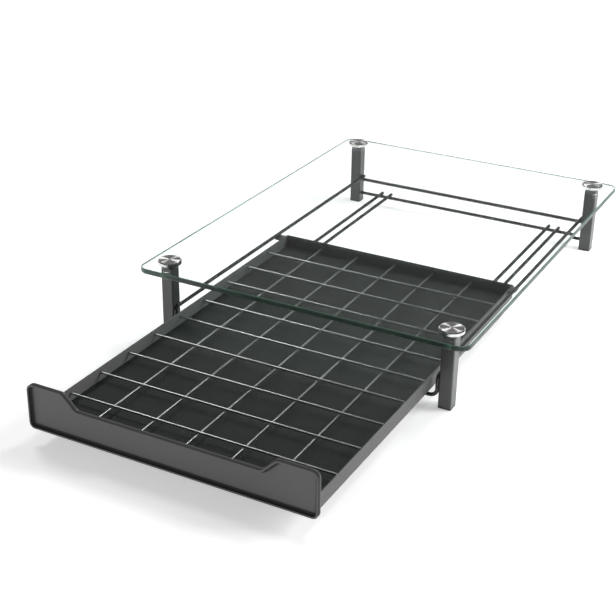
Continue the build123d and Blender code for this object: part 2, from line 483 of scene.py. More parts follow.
@dataclass(frozen=True)
class FloatGlass:
    """Clear sheet glass with ground edges, green where it is seen through its length."""

    name: str
    middle_z: float
    thickness: float
    arris: float
    face_gap: float = 0.02 * MM
    index: float = 1.5
    tint: Colour = (0.28, 0.52, 0.42)
    density: float = 14.0
    edge_colour: Colour = (0.18, 0.34, 0.26)
    edge_roughness: float = 0.30
    arris_haze: float = 0.45
    wipe: float = 0.012
    wipe_per_metre: float = 22.0
    wipe_stretch: tuple[float, float, float] = (1.0, 0.35, 1.0)
    shadow_colour: Colour = (0.9, 0.94, 0.92)

    def within(self, graph: Graph, margin: float) -> Socket:
        """1 on the edges, between two planes that lie a margin inside the large faces, 0 elsewhere."""
        height = graph.math("SUBTRACT", graph.along("Z", graph.place), self.middle_z)
        return graph.math("LESS_THAN", graph.math("ABSOLUTE", height), self.thickness / 2 - margin)

    def lit_through(self, graph: Graph) -> None:
        """Soak up red inside the glass, and let light through to what it covers.

        Args:
            graph: The material's nodes.
        """
        soak = graph.node("VolumeAbsorption", "Volume", {"Color": (*self.tint, 1.0), "Density": self.density})
        clear = graph.node("BsdfTransparent", "BSDF", {"Color": (*self.shadow_colour, 1.0)})
        shaders = {0: graph.rays("Is Shadow Ray"), 1: graph.shader.outputs["BSDF"], 2: clear}
        graph.fill(graph.output.inputs["Volume"], soak)
        graph.fill(graph.output.inputs["Surface"], graph.node("MixShader", "Shader", shaders))

    def material(self) -> Material:
        """Build the material.

        Returns:
            The material.
        """
        graph = Graph(self.name)
        edge = self.within(graph, self.face_gap)
        arris = graph.math("SUBTRACT", edge, self.within(graph, self.arris))
        smears = graph.noise(self.wipe_per_metre, place=graph.mapped(scale=self.wipe_stretch))
        ground = graph.math("MULTIPLY", edge, self.edge_roughness)
        graph.surface(
            Base_Color=graph.mix(edge, (1.0, 1.0, 1.0), self.edge_colour), IOR=self.index,
            Transmission_Weight=graph.span(arris, 1.0, 1.0 - self.arris_haze),
            Roughness=graph.math("ADD", graph.span(smears, 0.0, self.wipe), ground))
        self.lit_through(graph)
        return graph.material


@dataclass(frozen=True)
class Moulded:
    """Moulded plastic or rubber with a fine even grain."""

    name: str
    colour: Colour
    roughness: float = 0.55
    smoother: float = 0.06
    rougher: float = 0.08
    dark: float = 0.88
    light: float = 1.08
    tone_per_metre: float = 140.0
    subsurface: float = 0.0
    scatter: float = 0.6 * MM
    grain_per_metre: float = 2600.0
    grain: float = 0.4
    grain_depth: float = 0.04 * MM

    def material(self) -> Material:
        """Build the material.

        Returns:
            The material.
        """
        graph = Graph(self.name)
        grain = graph.noise(self.grain_per_metre, detail=3.0)
        tone = graph.noise(self.tone_per_metre)
        graph.surface(
            Base_Color=graph.mix(tone, shade(self.colour, self.dark), shade(self.colour, self.light)),
            Roughness=graph.span(grain, self.roughness - self.smoother, self.roughness + self.rougher),
            Subsurface_Weight=self.subsurface, Subsurface_Scale=self.scatter)
        graph.bump(grain, self.grain, self.grain_depth)
        return graph.material


# ---------------------------------------------------------------- modelling bench
class Bench:
    """Modelling moves that all the sub-assemblies share."""

    BEND_STEPS = 14         # faces along a wire's bend
    END_ROUNDING = 0.12     # as a share of a wire's thickness
    BEAD_UNEVENNESS = 0.16  # as a share of a bead's least radius

    @staticmethod
    def clear() -> None:
        """Deselect every object."""
        bpy.ops.object.select_all(action="DESELECT")

    @staticmethod
    def focus(piece: Piece) -> None:
        """Make one piece the only selected object, and the active one.

        Args:
            piece: The piece.
        """
        if bpy.context.object and bpy.context.object.mode != "OBJECT":
            bpy.ops.object.mode_set(mode="OBJECT")
        Bench.clear()
        piece.select_set(True)
        bpy.context.view_layer.objects.active = piece

    @staticmethod
    def started(name: str) -> Piece:
        """Name the primitive that was just added, and put its place, turn and size into its mesh.

        Args:
            name: The piece's name.

        Returns:
            The piece.
        """
        piece = bpy.context.object
        piece.name = piece.data.name = name
        Bench.focus(piece)
        bpy.ops.object.transform_apply(location=True, rotation=True, scale=True)
        return piece

    @staticmethod
    def box(name: str, low: Vector, high: Vector) -> Piece:
        """A block between two corners, to be shaped further.

        Args:
            name: The piece's name.
            low: Lowest corner.
            high: Highest corner.

        Returns:
            The block.
        """
        Bench.clear()
        bpy.ops.mesh.primitive_cube_add(size=1, location=(low + high) / 2, scale=high - low)
        return Bench.started(name)

    @staticmethod
    def cylinder(name: str, radius: float, low: Vector, height: float, sides: int) -> Piece:
        """An upright cylinder, to be shaped further.

        Args:
            name: The piece's name.
            radius: Its radius.
            low: The point it stands on.
            height: Its height.
            sides: Faces round it.

        Returns:
            The cylinder.
        """
        Bench.clear()
        middle = low + Vector((0, 0, height / 2))
        bpy.ops.mesh.primitive_cylinder_add(vertices=sides, radius=radius, depth=height, location=middle)
        return Bench.started(name)

    @staticmethod
    def pick(piece: Piece, part: Part, test: Callable[..., bool] = lambda *_: True) -> None:
        """Go to edit mode with only the elements that pass a test selected.

        Args:
            piece: The piece to edit.
            part: Kind of element.
            test: Gets a face's centre and normal, an edge's two ends or a vertex's place.
        """
        Bench.focus(piece)
        mesh = piece.data
        for elements in (mesh.vertices, mesh.edges, mesh.polygons):
            elements.foreach_set("select", [False] * len(elements))
        if part is Part.FACE:
            for face in mesh.polygons:
                face.select = test(face.center, face.normal)
        elif part is Part.EDGE:
            for edge in mesh.edges:
                edge.select = test(*(mesh.vertices[index].co for index in edge.vertices))
        else:
            for vertex in mesh.vertices:
                vertex.select = test(vertex.co)
        bpy.context.tool_settings.mesh_select_mode = part.value
        bpy.ops.object.mode_set(mode="EDIT")

    @staticmethod
    def bevel(width: float, segments: int) -> None:
        """Round the selected edges."""
        bpy.ops.mesh.bevel(offset=width, offset_type="OFFSET", segments=segments, profile=0.5, affect="EDGES")

    @staticmethod
    def extrude(step: Sequence[float] = (0, 0, 0)) -> None:
        """Extrude the selection by a step."""
        bpy.ops.mesh.extrude_region_move(TRANSFORM_OT_translate={"value": tuple(step)})

    @staticmethod
    def widen(factor: float, middle: Vector) -> None:
        """Scale the selection in X and Y about a middle."""
        bpy.ops.transform.resize(value=(factor, factor, 1), center_override=middle)

    @staticmethod
    def modify(piece: Piece, kind: str, **settings: object) -> None:
        """Put a modifier on a piece and apply it.

        Args:
            piece: The piece.
            kind: Blender's name of the modifier type.
            settings: Properties of the modifier.
        """
        Bench.focus(piece)
        modifier = piece.modifiers.new(kind.lower(), kind)
        for name, value in settings.items():
            setattr(modifier, name, value)
        bpy.ops.object.modifier_apply(modifier=modifier.name)

    @staticmethod
    def finish(piece: Piece, angle: float = 32.0) -> Piece:
        """Leave edit mode, turn the faces outwards and shade curves smooth, with flat faces flat.

        Args:
            piece: The piece.
            angle: Edges sharper than this many degrees stay sharp.

        Returns:
            The piece.
        """
        Bench.focus(piece)
        bpy.ops.object.mode_set(mode="EDIT")
        bpy.ops.mesh.select_all(action="SELECT")
        bpy.ops.mesh.remove_doubles(threshold=WELD)
        bpy.ops.mesh.normals_make_consistent(inside=False)
        bpy.ops.object.mode_set(mode="OBJECT")
        bpy.ops.object.shade_smooth_by_angle(angle=math.radians(angle))
        Bench.modify(piece, "WEIGHTED_NORMAL", keep_sharp=True)
        return piece

    @staticmethod
    def copy(piece: Piece, name: str, move: Vector) -> Piece:
        """A copy with its own mesh.

        Args:
            piece: The piece to copy.
            name: The copy's name.
            move: How far it is moved.

        Returns:
            The copy.
        """
        twin = piece.copy()
        twin.data = piece.data.copy()
        twin.name = twin.data.name = name
        twin.data.transform(Matrix.Translation(move))
        bpy.context.scene.collection.objects.link(twin)
        return twin

    @staticmethod
    def join(pieces: Sequence[Piece], name: str) -> Piece:
        """Join pieces into one mesh.

        Args:
            pieces: The pieces.
            name: The name of the whole.

        Returns:
            The joined piece.
        """
        Bench.focus(pieces[0])
        for piece in pieces[1:]:
            piece.select_set(True)
        bpy.ops.object.join()
        pieces[0].name = name
        return pieces[0]

    @staticmethod
    def wire(
            name: str, points: Sequence[Vector], diameter: float,
            bend: float = 0.0, sides: int = 28) -> Piece:
        """A round wire along straight runs and tangent bends, its ends cropped and rounded.

        Args:
            name: The piece's name.
            points: Corners of the wire's middle line, ends included.
            diameter: Thickness.
            bend: Radius of the middle line in each bend.
            sides: Faces round the wire.

        Returns:
            The wire.
        """
        heading = (points[1] - points[0]).normalized()
        turn = Vector((0, 0, 1)).rotation_difference(heading).to_euler()
        Bench.clear()
        bpy.ops.mesh.primitive_circle_add(
            vertices=sides, radius=diameter / 2, fill_type="NOTHING", location=points[0], rotation=turn)
        piece = Bench.started(name)
        Bench.pick(piece, Part.EDGE)
        reached = points[0]
        for before, corner, after in zip(points, points[1:], points[2:]):
            run_in, run_out = (corner - before).normalized(), (after - corner).normalized()
            arc_start, arc_end = Bench.wire_bend(corner, run_in, run_out, bend)
            Bench.extrude(arc_start - reached)
            axis = run_in.cross(run_out).normalized()
            centre = arc_start + axis.cross(run_in) * bend
            # A spin by a positive angle turns left-handed about its axis.
            bpy.ops.mesh.spin(steps=Bench.BEND_STEPS, angle=-run_in.angle(run_out), center=centre, axis=axis)
            reached = arc_end
        Bench.extrude(points[-1] - reached)
        bpy.ops.mesh.select_all(action="SELECT")
        bpy.ops.mesh.remove_doubles(threshold=WELD)
        bpy.ops.mesh.fill_holes(sides=0)
        Bench.round_ends(piece, (points[0], points[-1]), diameter)
        return Bench.finish(piece)

    @staticmethod
    def wire_bend(corner: Vector, run_in: Vector, run_out: Vector, bend: float) -> tuple[Vector, Vector]:
        """Where a tangent bend between two runs starts and ends.

        Args:
            corner: The point where the runs would meet.
            run_in: Direction of the run to the corner.
            run_out: Direction of the run from it.
            bend: Radius of the bend.

        Returns:
            The start and the end of the bend.
        """
        reach = bend * math.tan(run_in.angle(run_out) / 2)
        return corner - run_in * reach, corner + run_out * reach

    @staticmethod
    def round_ends(piece: Piece, ends: Sequence[Vector], diameter: float) -> None:
        """Take the sharp edge off a wire's cropped ends.

        Args:
            piece: The wire.
            ends: The middles of its end faces.
            diameter: Its thickness.
        """
        reach = diameter / 2 + NEAR

        def at_end(first: Vector, second: Vector) -> bool:
            """True for an edge of an end face."""
            return any((first - end).length < reach and (second - end).length < reach for end in ends)

        Bench.pick(piece, Part.EDGE, at_end)
        Bench.bevel(diameter * Bench.END_ROUNDING, 3)

    @staticmethod
    def bead(name: str, spot: Vector, radii: Vector, seed: int) -> Piece:
        """A weld bead: a small uneven blob.

        Args:
            name: The piece's name.
            spot: Its middle.
            radii: Half its size along each axis.
            seed: Picks its unevenness.

        Returns:
            The bead.
        """
        Bench.clear()
        bpy.ops.mesh.primitive_ico_sphere_add(subdivisions=2, radius=1.0, location=spot, scale=radii)
        piece = Bench.started(name)
        Bench.pick(piece, Part.VERTEX)
        bpy.ops.transform.vertex_random(offset=min(radii) * Bench.BEAD_UNEVENNESS, seed=seed)
        return Bench.finish(piece, angle=80.0)


def is_upright(first: Vector, second: Vector) -> bool:
    """True for an edge that runs up a piece."""
    return abs(first.z - second.z) > MM


def is_level(_: Vector, normal: Vector) -> bool:
    """True for a face that looks up or down."""
    return abs(normal.z) > FACING


def looks_up(_: Vector, normal: Vector) -> bool:
    """True for a face that looks up."""
    return normal.z > FACING


def fit(piece: Piece, body: Body, finish: Material, slot: Slot, *nodes: str) -> None:
    """Dress a finished piece, hang it on its body, and hide the CAD nodes that it stands for.

    Args:
        piece: The piece.
        body: What it moves with.
        finish: Its material.
        slot: The record's slot that the finish belongs to; not used.
        nodes: CAD nodes that the piece stands for.
    """
    piece.data.materials.clear()
    piece.data.materials.append(finish)
    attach(piece, body.value)
    if nodes:
        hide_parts(*nodes)
    LOG.info("%s: %d faces on the %s", piece.name, len(piece.data.polygons), body.value)


def dress(node: str, finish: Material) -> None:
    """Give a CAD node that stays its finish.

    Args:
        node: The node.
        finish: Its material.
    """
    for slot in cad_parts[node].material_slots:
        slot.material = finish
    LOG.info("%s: kept, finish %s", node, finish.name)


def nodes_like(start: str = "", end: str = "") -> list[str]:
    """Names of the CAD nodes with this start and this end, in order."""
    return sorted(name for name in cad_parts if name.startswith(start) and name.endswith(end))


def middle_of(node: str) -> Vector:
    """Middle of a CAD node's box."""
    low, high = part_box(node)
    return (low + high) / 2


def ends_of(node: str) -> list[Vector]:
    """The two ends of the middle line of a straight node.

    Args:
        node: A node that is longest along X or Y.

    Returns:
        Its first and last point.
    """
    low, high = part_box(node)
    middle = middle_of(node)
    if high.x - low.x > high.y - low.y:
        return [Vector((x, middle.y, middle.z)) for x in (low.x, high.x)]
    return [Vector((middle.x, y, middle.z)) for y in (low.y, high.y)]


# ---------------------------------------------------------------- stand: glass
@dataclass
class GlassTop:
    """Tempered sheet with rounded corners, ground edges and four drilled holes."""

    finish: Material
    washer_finish: Material
    pad_finish: Material
    corner: float = 10.0 * MM
    corner_steps: int = 14
    arris: float = 0.7 * MM
    hole: float = 7.0 * MM
    hole_sides: int = 48
    overrun: float = 1.0 * MM

    def sheet(self) -> Piece:
        """Model the sheet without its holes.

        Returns:
            The sheet.
        """
        piece = Bench.box("glass_sheet", *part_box("glass_top"))
        Bench.pick(piece, Part.EDGE, is_upright)
        Bench.bevel(self.corner, self.corner_steps)
        Bench.pick(piece, Part.FACE, is_level)
        bpy.ops.mesh.region_to_loop()
        Bench.bevel(self.arris, 1)
        return Bench.finish(piece)

    def drill(self, sheet: Piece) -> None:
        """Cut the four holes over the legs.

        Args:
            sheet: The sheet.
        """
        low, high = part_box("glass_top")
        depth = high.z - low.z + 2 * self.overrun
        for corner in CORNERS:
            leg = middle_of(corner + "_leg")
            start = Vector((leg.x, leg.y, low.z - self.overrun))
            drill = Bench.cylinder("drill", self.hole / 2, start, depth, self.hole_sides)
            Bench.modify(sheet, "BOOLEAN", operation="DIFFERENCE", solver="EXACT", object=drill)
            bpy.data.objects.remove(drill)
        Bench.finish(sheet)

    def build(self) -> None:
        """Model the sheet and dress its washers and pads."""
        sheet = self.sheet()
        self.drill(sheet)
        fit(sheet, Body.STAND, self.finish, Slot.CLEAR_GLASS, "glass_top")
        dress("glass_washers", self.washer_finish)
        dress("glass_pads", self.pad_finish)


# ---------------------------------------------------------------- stand: caps and studs
@dataclass
class Caps:
    """Four flat turned caps that clamp the glass, and the threaded studs inside them."""

    finish: Material
    stud_finish: Material
    insert_finish: Material
    disc: float = 22.0 * MM
    disc_height: float = 3.5 * MM
    neck: float = 16.6 * MM
    neck_height: float = 0.4 * MM
    chamfer: float = 0.9 * MM
    edge: float = 0.14 * MM
    face_rings: tuple[float, ...] = (0.8 * MM, 3.4 * MM, 3.4 * MM)
    bore: float = 5.4 * MM
    bore_depth: float = 2.6 * MM
    sides: int = 96
    stud: float = 5.0 * MM
    stud_gap: float = 0.2 * MM
    pitch: float = 0.8 * MM
    thread_depth: float = 0.45 * MM
    thread_steps: int = 20

    def cap(self, corner: str) -> Piece:
        """Model one cap on its washer.

        Args:
            corner: The leg's corner.

        Returns:
            The cap.
        """
        leg, foot = middle_of(corner + "_leg"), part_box("caps")[0].z
        neck_top = foot + self.neck_height
        top = neck_top + self.disc_height
        base = Vector((leg.x, leg.y, foot))
        piece = Bench.cylinder("cap_" + corner, self.neck / 2, base, self.neck_height, self.sides)
        Bench.pick(piece, Part.FACE, looks_up)
        Bench.extrude()
        Bench.widen(self.disc / self.neck, base)
        Bench.extrude((0, 0, self.disc_height))
        Bench.pick(piece, Part.EDGE, lambda first, second: min(first.z, second.z) > top - NEAR)
        Bench.bevel(self.chamfer, 1)
        Bench.pick(piece, Part.EDGE, self.is_turned_edge(base, (foot, neck_top, top)))
        Bench.bevel(self.edge, 2)
        Bench.pick(piece, Part.FACE, lambda centre, normal: normal.z > FLAT and centre.z > top - NEAR / 2)
        for ring in self.face_rings:
            bpy.ops.mesh.inset(thickness=ring)
        bpy.ops.mesh.poke()
        Bench.pick(piece, Part.FACE, lambda centre, normal: (centre - base).length < NEAR)
        bpy.ops.mesh.inset(thickness=(self.neck - self.bore) / 2 - self.edge)
        Bench.extrude((0, 0, self.bore_depth))
        return Bench.finish(piece)

    @staticmethod
    def is_turned_edge(base: Vector, levels: Sequence[float]) -> Callable[[Vector, Vector], bool]:
        """Test for the ring edges of a cap that are broken. The chamfer's lower one stays sharp.

        Args:
            base: A point on the cap's axis.
            levels: Heights of the rings.

        Returns:
            A test of an edge's two ends.
        """

        def turned(first: Vector, second: Vector) -> bool:
            """True for an edge that runs round the cap at one of the levels."""
            at_level = any(abs(first.z - level) < WELD for level in levels)
            widths = (first - base).xy.length, (second - base).xy.length
            return at_level and abs(first.z - second.z) < WELD and abs(widths[0] - widths[1]) < NEAR

        return turned

    def thread(self, corner: str) -> Piece:
        """Model one stud: a V thread wound round its axis, with closed ends.

        Args:
            corner: The leg's corner.

        Returns:
            The stud.
        """
        leg, foot = middle_of(corner + "_leg"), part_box("studs")[0].z
        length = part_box("caps")[0].z + self.bore_depth - self.stud_gap - foot
        root = self.stud / 2 - self.thread_depth
        turns = int(length / self.pitch) - 1
        start = foot + (length - (turns + 1) * self.pitch) / 2
        Bench.clear()
        bpy.ops.mesh.primitive_plane_add(size=self.pitch, location=(0, 0, 0), rotation=(math.pi / 2, 0, 0))
        piece = Bench.started("stud_" + corner)
        Bench.pick(piece, Part.VERTEX, lambda point: point.x < 0)
        bpy.ops.mesh.delete(type="VERT")
        Bench.pick(piece, Part.EDGE)
        bpy.ops.mesh.subdivide(number_cuts=1)
        Bench.pick(piece, Part.VERTEX)
        bpy.ops.transform.translate(value=(root - self.pitch / 2, 0, self.pitch / 2))
        Bench.pick(piece, Part.VERTEX, lambda point: abs(point.z - self.pitch / 2) < self.pitch / 8)
        bpy.ops.transform.translate(value=(self.thread_depth, 0, 0))
        Bench.modify(
            piece, "SCREW", screw_offset=self.pitch, iterations=turns, steps=self.thread_steps,
            render_steps=self.thread_steps, use_merge_vertices=True, merge_threshold=NEAR)
        piece.data.transform(Matrix.Translation((leg.x, leg.y, start)))
        Bench.pick(piece, Part.EDGE)
        bpy.ops.mesh.fill_holes(sides=0)
        return Bench.finish(piece, angle=50.0)

    def build(self) -> None:
        """Model the caps and studs, and dress the inserts."""
        for corner in CORNERS:
            fit(self.cap(corner), Body.STAND, self.finish, Slot.CAP_METAL, "caps")
            fit(self.thread(corner), Body.STAND, self.stud_finish, Slot.ZINC_STEEL, "studs")
        dress("leg_inserts", self.insert_finish)


# ---------------------------------------------------------------- stand: legs
@dataclass
class Legs:
    """Four square tubes, and the plugs that they stand on."""

    finish: Material
    foot_finish: Material
    corner: float = 1.2 * MM
    corner_steps: int = 6
    wall: float = 1.2 * MM
    flange: float = 1.5 * MM
    flange_edge: float = 0.3 * MM
    plug_inset: float = 1.25 * MM
    plug_height: float = 9.0 * MM
    ribs: int = 3
    rib_narrowing: float = 0.92

    def tube(self, node: str) -> Piece:
        """Model one leg as a rolled square tube, open at both ends.

        Args:
            node: The leg's node.

        Returns:
            The tube.
        """
        piece = Bench.box(node + "_tube", *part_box(node))
        Bench.pick(piece, Part.FACE, is_level)
        bpy.ops.mesh.delete(type="ONLY_FACE")
        Bench.pick(piece, Part.EDGE, is_upright)
        Bench.bevel(self.corner, self.corner_steps)
        Bench.finish(piece)
        Bench.modify(piece, "SOLIDIFY", thickness=self.wall, offset=-1.0, use_even_offset=True)
        return Bench.finish(piece)

    def foot(self, node: str) -> Piece:
        """Model one plug: a flange on the floor, and a ribbed block up inside the tube.

        Args:
            node: The foot's node.

        Returns:
            The plug.
        """
        low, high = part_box(node)
        middle = middle_of(node)
        piece = Bench.box(node + "_plug", low, Vector((high.x, high.y, low.z + self.flange)))
        Bench.pick(piece, Part.EDGE, is_upright)
        Bench.bevel(self.corner, self.corner_steps)
        Bench.pick(piece, Part.EDGE, lambda first, second: max(first.z, second.z) < low.z + NEAR)
        Bench.bevel(self.flange_edge, 2)
        Bench.pick(piece, Part.FACE, looks_up)
        bpy.ops.mesh.inset(thickness=self.plug_inset)
        rib = self.plug_height / (2 * self.ribs)
        for _ in range(self.ribs):
            for factor in (self.rib_narrowing, 1 / self.rib_narrowing):
                Bench.extrude((0, 0, rib))
                Bench.extrude()
                Bench.widen(factor, middle)
        Bench.widen(self.rib_narrowing, middle)
        return Bench.finish(piece)

    def build(self) -> None:
        """Model the legs and feet."""
        for corner in CORNERS:
            leg, foot = corner + "_leg", corner + "_foot"
            fit(self.tube(leg), Body.STAND, self.finish, Slot.LEG_PAINT, leg)
            fit(self.foot(foot), Body.STAND, self.foot_finish, Slot.FOOT_PLASTIC, foot)


# ---------------------------------------------------------------- stand: wires
@dataclass
class WireFrame:
    """Rails, cradle, rear bars and runners, and the beads that weld them."""

    finish: Material
    wire: float = 3.5 * MM
    rail_bend: float = 5.0 * MM
    cradle_bend: float = 6.5 * MM
    bead_radii: tuple[float, float, float] = (1.7 * MM, 1.7 * MM, 1.2 * MM)

    def rail(self, node: str) -> Piece:
        """Model a side rail: a long run, turned down beside the front leg.

        Args:
            node: The rail's node.

        Returns:
            The rail.
        """
        low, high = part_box(node)
        half = self.wire / 2
        x, front, top = (low.x + high.x) / 2, low.y + half, high.z - half
        points = [Vector((x, high.y, top)), Vector((x, front, top)), Vector((x, front, low.z))]
        return Bench.wire(node + "_wire", points, self.wire, self.rail_bend)

    def cradle(self) -> Piece:
        """Model the U-shaped wire under the drawer.

        Returns:
            The cradle.
        """
        low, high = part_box("front_cradle")
        half = self.wire / 2
        left, right, y, bottom = low.x + half, high.x - half, (low.y + high.y) / 2, low.z + half
        corners = ((left, high.z), (left, bottom), (right, bottom), (right, high.z))
        points = [Vector((x, y, z)) for x, z in corners]
        return Bench.wire("front_cradle_wire", points, self.wire, self.cradle_bend)

    def bead_places(self) -> Iterator[Vector]:
        """Places where a wire is welded to a wire or a leg.

        Yields:
            The middle of each bead.
        """
        half = self.wire / 2
        for runner in nodes_like(end="_runner"):
            for bar in ("front_cradle", "rear_lower_bar"):
                yield Vector((middle_of(runner).x, middle_of(bar).y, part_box(runner)[0].z))
        for bar in nodes_like("rear_", "_bar"):
            yield from ends_of(bar)
        for rail in nodes_like(end="_side_rail"):
            low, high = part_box(rail)
            x = middle_of(rail).x
            for leg in ("front_left_leg", "rear_left_leg"):
                yield Vector((x + math.copysign(half, x), middle_of(leg).y, high.z - half))
            yield Vector((x, low.y + half, low.z))

    def build(self) -> None:
        """Model the wires and their welds."""
        for node in nodes_like(end="_side_rail"):
            fit(self.rail(node), Body.STAND, self.finish, Slot.WIRE_PAINT, node)
        fit(self.cradle(), Body.STAND, self.finish, Slot.WIRE_PAINT, "front_cradle")
        for node in nodes_like("rear_", "_bar") + nodes_like(end="_runner"):
            straight = Bench.wire(node + "_wire", ends_of(node), self.wire)
            fit(straight, Body.STAND, self.finish, Slot.WIRE_PAINT, node)
        radii = Vector(self.bead_radii)
        beads = [Bench.bead("bead", spot, radii, seed) for seed, spot in enumerate(self.bead_places())]
        fit(Bench.join(beads, "frame_welds"), Body.STAND, self.finish, Slot.WIRE_PAINT)


# ---------------------------------------------------------------- drawer: front panel
@dataclass
class FrontPanel:
    """Dished panel with a raised rounded rim and a wide notch for the fingers."""

    finish: Material
    notch_depth: float = 12.7 * MM
    notch_half_top: float = 95.0 * MM
    notch_half_bottom: float = 82.0 * MM
    notch_radius: float = 5.0 * MM
    bottom_corner: float = 5.0 * MM
    top_corner: float = 6.0 * MM
    corner_steps: int = 10
    lip: float = 1.7 * MM
    edge: float = 0.45 * MM
    edge_steps: int = 3
    web: float = 1.1 * MM
    wall_slope: float = 0.005 * MM
    dish: float = 2.9 * MM
    dish_steps: int = 9
    crowded: float = 0.15 * MM

    def blank(self) -> Piece:
        """Model the flat panel with its notch and rounded corners.

        Returns:
            The panel.
        """
        low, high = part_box("front_panel")
        piece = Bench.box("dished_front_panel", low, high)
        for x in (-self.notch_half_top, -self.notch_half_bottom, self.notch_half_bottom, self.notch_half_top):
            Bench.pick(piece, Part.FACE)
            bpy.ops.mesh.bisect(plane_co=(x, 0, 0), plane_no=(1, 0, 0))
        inner, top = self.notch_half_bottom + NEAR, high.z - NEAR
        Bench.pick(piece, Part.VERTEX, lambda point: abs(point.x) < inner and point.z > top)
        bpy.ops.transform.translate(value=(0, 0, -self.notch_depth))
        Bench.pick(piece, Part.FACE)
        bpy.ops.mesh.dissolve_limited(angle_limit=math.radians(1))
        slope = math.atan2(self.notch_depth, self.notch_half_top - self.notch_half_bottom)
        reach = self.notch_radius * math.tan(slope / 2)
        self.round_corners(piece, high.x, low.z, self.bottom_corner)
        self.round_corners(piece, high.x, high.z, self.top_corner)
        self.round_corners(piece, self.notch_half_top, high.z, reach)
        self.round_corners(piece, self.notch_half_bottom, high.z - self.notch_depth, reach)
        return piece

    def round_corners(self, piece: Piece, x: float, z: float, reach: float) -> None:
        """Round the pair of corners at plus and minus x.

        Args:
            piece: The panel.
            x: How far out the corners are.
            z: Their height.
            reach: How far from the corner the rounding starts.
        """

        def at_corner(point: Vector) -> bool:
            """True for a point at either corner."""
            return abs(abs(point.x) - x) < NEAR and abs(point.z - z) < NEAR

        Bench.pick(piece, Part.EDGE, lambda first, second: at_corner(first) and at_corner(second)
                   and abs(first.x - second.x) < NEAR)
        Bench.bevel(reach, self.corner_steps)

    def press(self, piece: Piece) -> None:
        """Round the panel's outer edges and press the dish into the face.

        Args:
            piece: The panel.
        """
        low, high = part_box("front_panel")
        for side in (-1, 1):
            Bench.pick(piece, Part.FACE, lambda centre, normal: normal.y * side > FACING)
            bpy.ops.mesh.region_to_loop()
            Bench.bevel(self.edge, self.edge_steps)
        Bench.pick(piece, Part.FACE, lambda centre, normal: normal.y < -FLAT)
        bpy.ops.mesh.inset(thickness=self.lip - 2 * self.edge)
        for thickness, depth in self.dish_profile(high.y - low.y - self.web):
            bpy.ops.mesh.inset(thickness=thickness, depth=-depth)
        face = high.y - self.web
        Bench.pick(piece, Part.VERTEX, lambda point: abs(point.y - face) < NEAR)
        bpy.ops.mesh.remove_doubles(threshold=self.crowded)

    def dish_profile(self, depth: float) -> Iterator[tuple[float, float]]:
        """Steps inwards and down, from the rim's flat to the face.

        Args:
            depth: How far the face lies behind the rim.

        Yields:
            How far each step goes inwards and down.
        """
        for fast, slow in self.quarter_turn(self.edge_steps):
            yield self.edge * fast, self.edge * slow
        yield self.wall_slope, depth - self.edge - self.dish
        for fast, slow in self.quarter_turn(self.dish_steps):
            yield self.dish * slow, self.dish * fast

    @staticmethod
    def quarter_turn(steps: int) -> Iterator[tuple[float, float]]:
        """Steps along a quarter of a circle of radius 1.

        Args:
            steps: How many there are.

        Yields:
            How far each goes along the way it starts in, and square to that.
        """
        angles = [math.pi / 2 * step / steps for step in range(steps + 1)]
        for start, end in zip(angles, angles[1:]):
            yield math.sin(end) - math.sin(start), math.cos(start) - math.cos(end)

    def build(self) -> None:
        """Model the panel."""
        piece = self.blank()
        self.press(piece)
        fit(Bench.finish(piece, angle=24.0), Body.DRAWER, self.finish, Slot.PANEL_PAINT, "front_panel")


# ---------------------------------------------------------------- drawer: tray
@dataclass
class Tray:
    """Floor and walls of fine mesh sheet, with the tabs that hold the drawer down."""

    sheet_finishes: dict[Lie, Material]
    tab_finish: Material
    edge: float = 0.3 * MM

    def sheet(self, node: str) -> Piece:
        """Model one sheet with rounded edges.

        Args:
            node: The sheet's node.

        Returns:
            The sheet.
        """
        piece = Bench.box(node + "_sheet", *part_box(node))
        Bench.pick(piece, Part.EDGE)
        Bench.bevel(self.edge, 3)
        return Bench.finish(piece)

    @staticmethod
    def lie_of(node: str) -> Lie:
        """How a sheet lies, from its thinnest side.

        Args:
            node: The sheet's node.

        Returns:
            How it lies.
        """
        low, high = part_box(node)
        sides = list(high - low)
        return (Lie.ALONG_DRAWER, Lie.ACROSS_DRAWER, Lie.FLAT)[sides.index(min(sides))]

    def build(self) -> None:
        """Model the sheets and dress the tabs."""
        for node in nodes_like("tray_"):
            finish = self.sheet_finishes[self.lie_of(node)]
            fit(self.sheet(node), Body.DRAWER, finish, Slot.TRAY_PAINT, node)
        for node in nodes_like(end="_hold_down_tab"):
            dress(node, self.tab_finish)


@dataclass
class Grid:
    """Crossed wires that part the tray into cells, welded where they cross."""

    across_finish: Material
    along_finish: Material
    wire: float = 2.0 * MM
    sides: int = 20
    bead_radii: tuple[float, float, float] = (1.15 * MM, 1.15 * MM, 0.55 * MM)
    bead_seed: int = 3

    def bead_places(self) -> Iterator[Vector]:
        """Places where a crosswise wire lies on a lengthwise one.

        Yields:
            The middle of each bead.
        """
        for across in nodes_like("cross_wire_"):
            for along in nodes_like("long_wire_"):
                yield Vector((middle_of(along).x, middle_of(across).y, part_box(across)[0].z))

    def build(self) -> None:
        """Model the wires and their welds."""
        for start, finish in (("cross_wire_", self.across_finish), ("long_wire_", self.along_finish)):
            for node in nodes_like(start):
                wire = Bench.wire(node + "_rod", ends_of(node), self.wire, sides=self.sides)
                fit(wire, Body.DRAWER, finish, Slot.GRID_METAL, node)
        first, *others = self.bead_places()
        bead = Bench.bead("grid_bead", first, Vector(self.bead_radii), self.bead_seed)
        beads = [bead] + [Bench.copy(bead, "grid_bead", spot - first) for spot in others]
        fit(Bench.join(beads, "grid_welds"), Body.DRAWER, self.across_finish, Slot.GRID_METAL)


